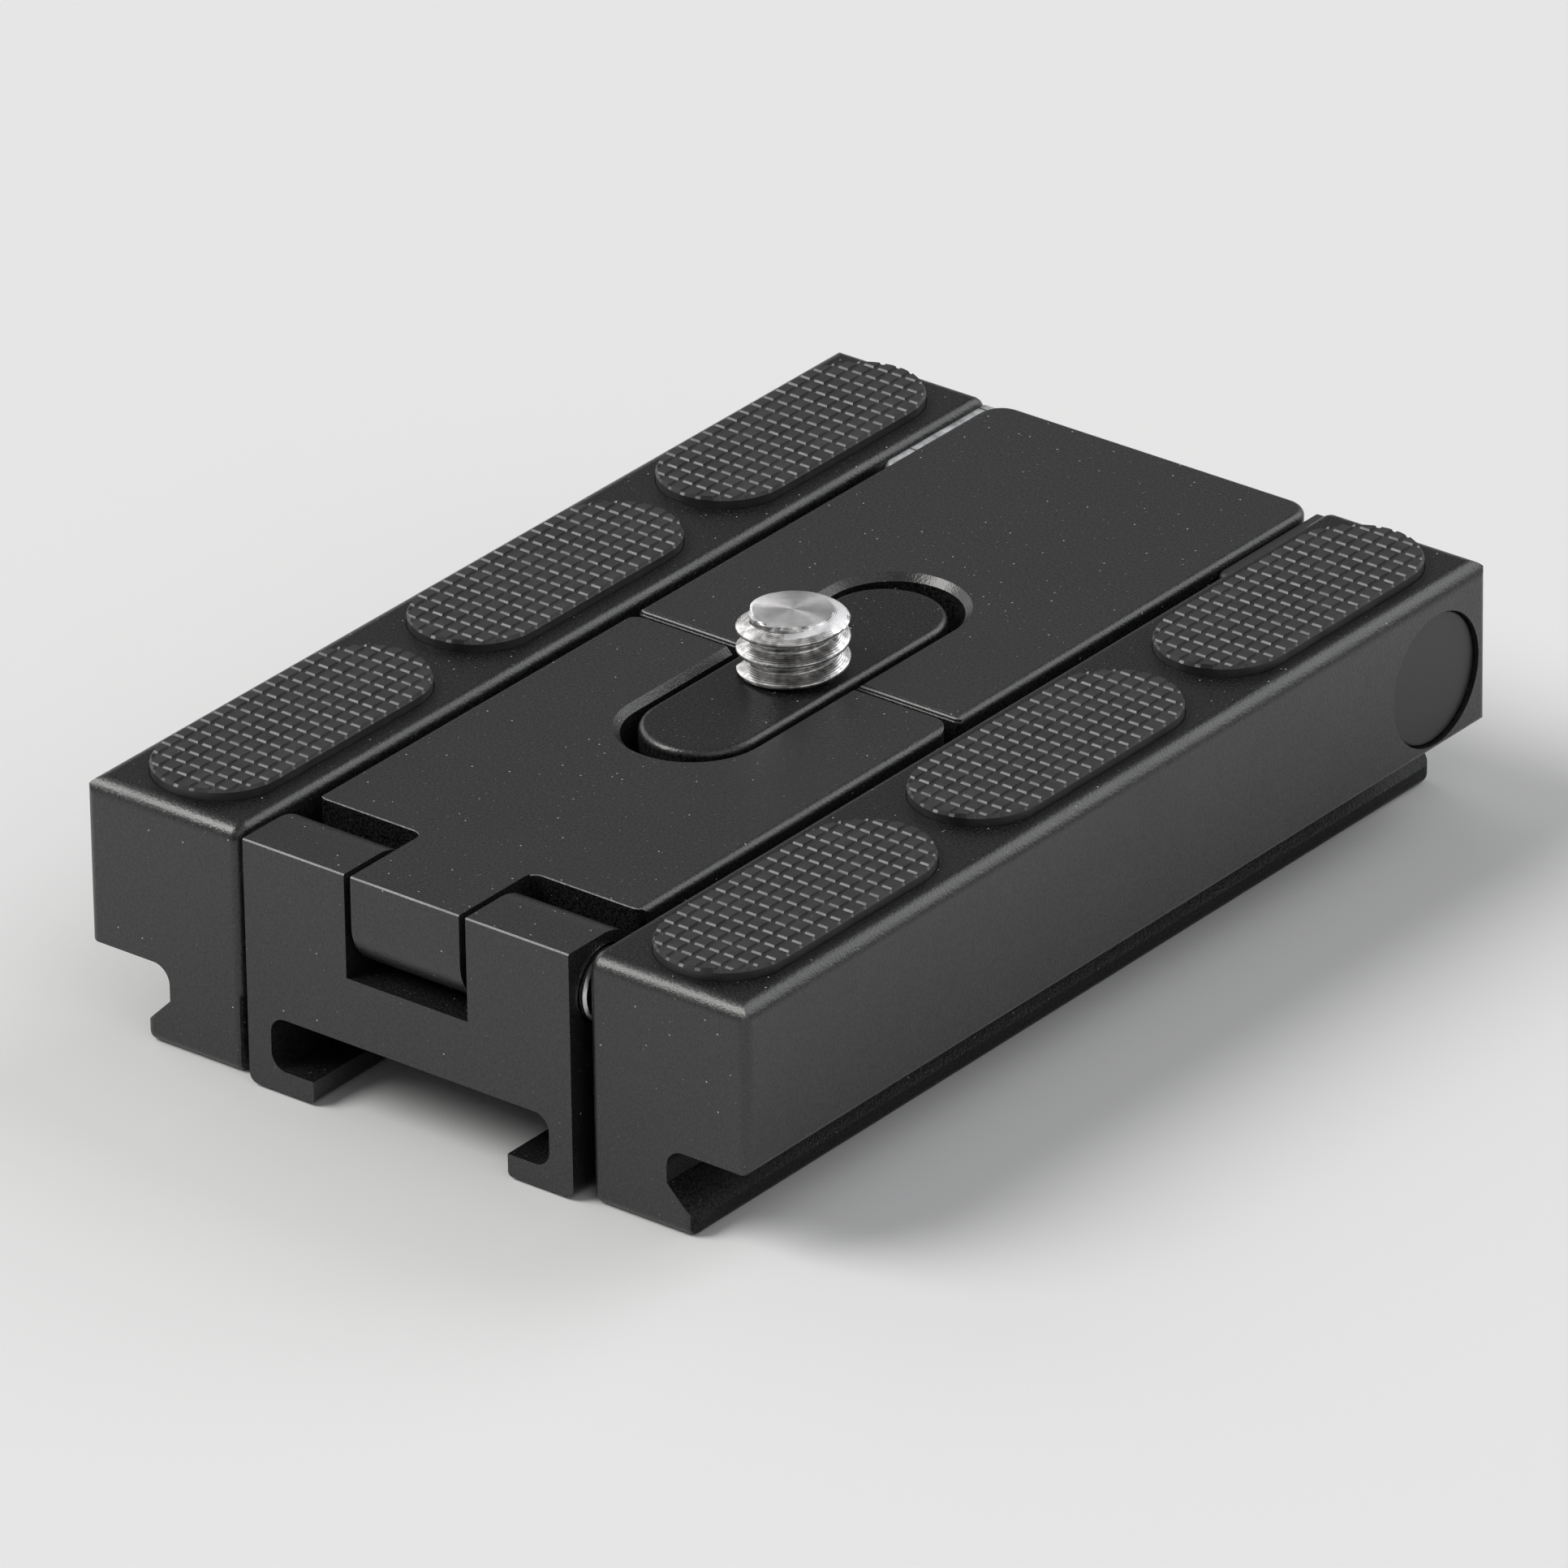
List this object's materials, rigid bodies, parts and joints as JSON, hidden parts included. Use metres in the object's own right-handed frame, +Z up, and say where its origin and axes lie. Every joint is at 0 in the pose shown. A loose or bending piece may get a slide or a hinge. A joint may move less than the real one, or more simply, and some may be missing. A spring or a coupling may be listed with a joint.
{
  "type": "tripod quick release plate",
  "caption": "Dovetail quick release plate with rubber pads and camera screw; a hinged backbone folds up, draws out and clamps a phone under a jaw with an accessory shoe.",
  "frame": {"origin": "centre of the outline on the face that the plate stands on", "axes": "+Y along the rails, from the jaw to the pivots; +Z up, out of the camera seat; +X across the rails"},
  "size_m": [0.0456, 0.0672, 0.0185],
  "materials": {
    "anodised_black": "bead-blasted black anodised",
    "rubber_black": "matt moulded rubber",
    "steel": "turned steel",
    "stainless": "bright stainless steel",
    "spring_steel": "drawn wire",
    "nylon_black": "matt",
    "acetal_white": "natural acetal",
    "plastic_black": "matt",
    "brass": "turned"
  },
  "bodies": {
    "plate": {"body": "anodised_black", "pad_left_front": "rubber_black", "pad_left_middle": "rubber_black", "pad_left_rear": "rubber_black", "pad_right_front": "rubber_black", "pad_right_middle": "rubber_black", "pad_right_rear": "rubber_black", "pivot_cap_left": "plastic_black", "pivot_cap_right": "plastic_black", "friction_washer_left": "acetal_white", "friction_washer_right": "acetal_white"},
    "backbone": {"rear_plate": "anodised_black", "pivot_screw_left": "steel", "rod_bushing_rear_left": "brass", "spring_rear_left": "spring_steel", "pivot_screw_right": "steel", "rod_bushing_rear_right": "brass", "spring_rear_right": "spring_steel"},
    "rods": {"guide_rod_left": "stainless", "guide_rod_right": "stainless"},
    "clamp_head": {"front_plate": "anodised_black", "rod_bushing_front_left": "brass", "spring_front_left": "spring_steel", "rod_bushing_front_right": "brass", "spring_front_right": "spring_steel"},
    "jaw": {"shoe_jaw": "anodised_black", "jaw_pad": "rubber_black", "hinge_pin": "steel", "hinge_screw": "steel"},
    "screw": {"camera_screw": "stainless", "screw_washer": "nylon_black"}
  },
  "joints": [
    {"name": "backbone_hinge", "type": "hinge", "parent": "plate", "child": "backbone", "pos_m": [0, 0.02877, 0.0094], "axis": [-1, 0, 0], "range_deg": [0, 90]},
    {"name": "clamp_slide", "type": "slide", "parent": "backbone", "child": "clamp_head", "axis": [0, -1, 0], "range_m": [0, 0.024], "stiffness_N_per_m": 300, "springref_m": -0.008, "deforming": ["spring_front_left", "spring_front_right"]},
    {"name": "rod_slide", "type": "slide", "parent": "backbone", "child": "rods", "axis": [0, -1, 0], "range_m": [0, 0.012], "deforming": ["spring_rear_left", "spring_rear_right"]},
    {"name": "jaw_hinge", "type": "hinge", "parent": "clamp_head", "child": "jaw", "pos_m": [0, -0.03058, 0.012], "axis": [-1, 0, 0], "range_deg": [0, 90]},
    {"name": "camera_screw_turn", "type": "hinge", "parent": "plate", "child": "screw", "pos_m": [0, 0.00028, 0.01485], "axis": [0, 0, 1], "continuous": true}
  ],
  "couplings": [
    {"joint": "rod_slide", "follows": "clamp_slide", "ratio": 0.5}
  ]
}
